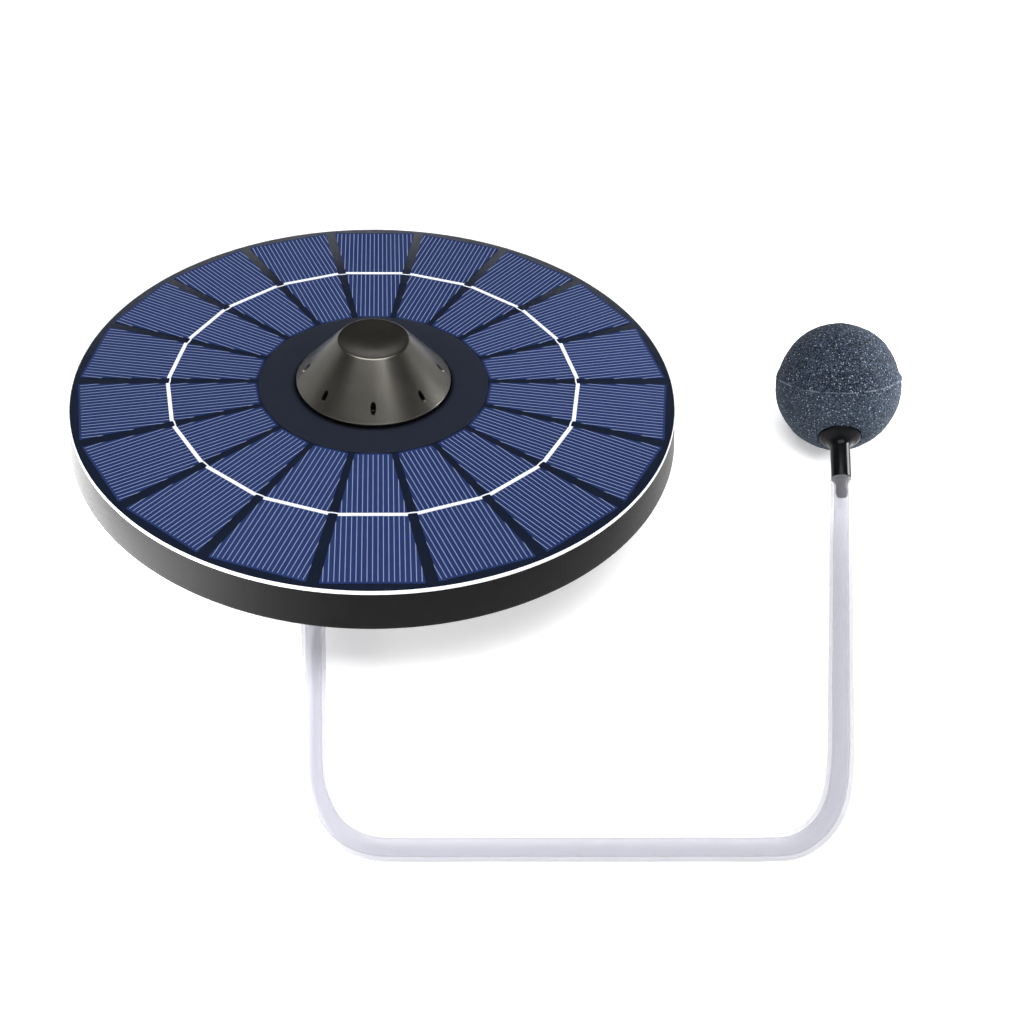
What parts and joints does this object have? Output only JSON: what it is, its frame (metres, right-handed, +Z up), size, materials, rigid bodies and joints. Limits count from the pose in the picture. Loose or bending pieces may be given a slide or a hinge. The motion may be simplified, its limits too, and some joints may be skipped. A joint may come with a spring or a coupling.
{
  "type": "floating solar air pump",
  "caption": "Round floating solar air pump with a slotted cone cap, a clear air hose and a ball air stone at its end.",
  "frame": {"origin": "on the disc's axis, at the flat foot under the pump housing", "axes": "+Z up through the cone cap, -Y towards the side where the hose leaves"},
  "size_m": [0.2307, 0.2126, 0.0457],
  "materials": {
    "black_plastic": "satin, fine moulded grain",
    "white_plastic": "smooth white edge",
    "white_foam": "closed-cell foam",
    "panel_black": "dark laminate under a clear coat",
    "hub_plastic": "dark blue-grey, satin",
    "cell_blue": "blue silicon with fine pale finger lines",
    "busbar_silver": "bright tinned ribbon",
    "cap_metal": "dark bronze-grey, metallic satin",
    "sponge_grey": "open-cell filter sponge",
    "grey_plastic": "moulded nylon",
    "rubber": "soft black rubber",
    "steel": "plated steel",
    "bronze": "sintered bronze",
    "brass": "turned brass",
    "copper": "copper windings over steel laminations",
    "ferrite": "ferrite magnet",
    "nylon_white": "natural nylon",
    "board_green": "fibreglass board",
    "lead_red": "soft insulation",
    "lead_black": "soft insulation",
    "clear_hose": "clear soft hose",
    "stone_grey": "blue-grey bonded grit",
    "gloss_black": "gloss black moulding"
  },
  "bodies": {
    "hull": {"hull_tray": "black_plastic", "foam_ring": "white_foam", "panel_board": "white_plastic", "panel_face": "panel_black", "busbar_ring": "busbar_silver", "hub_plate": "hub_plastic", "intake_collar": "black_plastic", "filter_sponge": "sponge_grey", "pump_housing": "black_plastic", "base_cover": "black_plastic", "base_gasket": "rubber", "cover_screw_1": "steel", "cover_screw_2": "steel", "cover_screw_3": "steel", "cover_screw_4": "steel", "motor_can": "steel", "motor_end_cap": "nylon_white", "magnet_front": "ferrite", "magnet_back": "ferrite", "bearing_front": "bronze", "bearing_rear": "bronze", "motor_cradle": "grey_plastic", "motor_strap": "steel", "diaphragm": "rubber", "clamp_ring": "steel", "valve_body": "grey_plastic", "inner_air_tube": "clear_hose", "outlet_barb": "black_plastic", "diode_board": "board_green", "lead_red": "lead_red", "lead_black": "lead_black", "air_hose": "clear_hose", "air_stone": "stone_grey", "stone_stem": "gloss_black", "solar_cell_01": "cell_blue", "solar_cell_02": "cell_blue", "solar_cell_03": "cell_blue", "solar_cell_04": "cell_blue", "solar_cell_05": "cell_blue", "solar_cell_06": "cell_blue", "solar_cell_07": "cell_blue", "solar_cell_08": "cell_blue", "solar_cell_09": "cell_blue", "solar_cell_10": "cell_blue", "solar_cell_11": "cell_blue", "solar_cell_12": "cell_blue", "solar_cell_13": "cell_blue", "solar_cell_14": "cell_blue", "solar_cell_15": "cell_blue", "solar_cell_16": "cell_blue", "solar_cell_17": "cell_blue", "solar_cell_18": "cell_blue"},
    "cap": {"cone_cap": "cap_metal"},
    "rotor": {"motor_armature": "copper", "motor_commutator": "copper", "motor_shaft": "steel", "crank_wheel": "brass"},
    "rod": {"connecting_rod": "nylon_white"},
    "intake_valve": {"intake_flap": "rubber"},
    "outlet_valve": {"outlet_flap": "rubber"}
  },
  "joints": [
    {"name": "cap_lift", "type": "slide", "parent": "hull", "child": "cap", "axis": [0, 0, 1], "range_m": [0, 0.03]},
    {"name": "motor_spin", "type": "hinge", "parent": "hull", "child": "rotor", "pos_m": [0, 0, 0.0205], "axis": [1, 0, 0], "continuous": true},
    {"name": "diaphragm_stroke", "type": "slide", "parent": "hull", "child": "rod", "axis": [0, 0, 1], "range_m": [-0.0008, 0.0008], "stiffness_N_per_m": 150, "deforming": ["diaphragm"]},
    {"name": "intake_valve_flap", "type": "hinge", "parent": "hull", "child": "intake_valve", "pos_m": [0.01585, 0, 0.00725], "axis": [0, 1, 0], "range_deg": [0, 15], "stiffness_Nm_per_rad": 0.00002},
    {"name": "outlet_valve_flap", "type": "hinge", "parent": "hull", "child": "outlet_valve", "pos_m": [0.00465, 0, 0.00575], "axis": [0, 1, 0], "range_deg": [0, 8], "stiffness_Nm_per_rad": 0.00002}
  ]
}
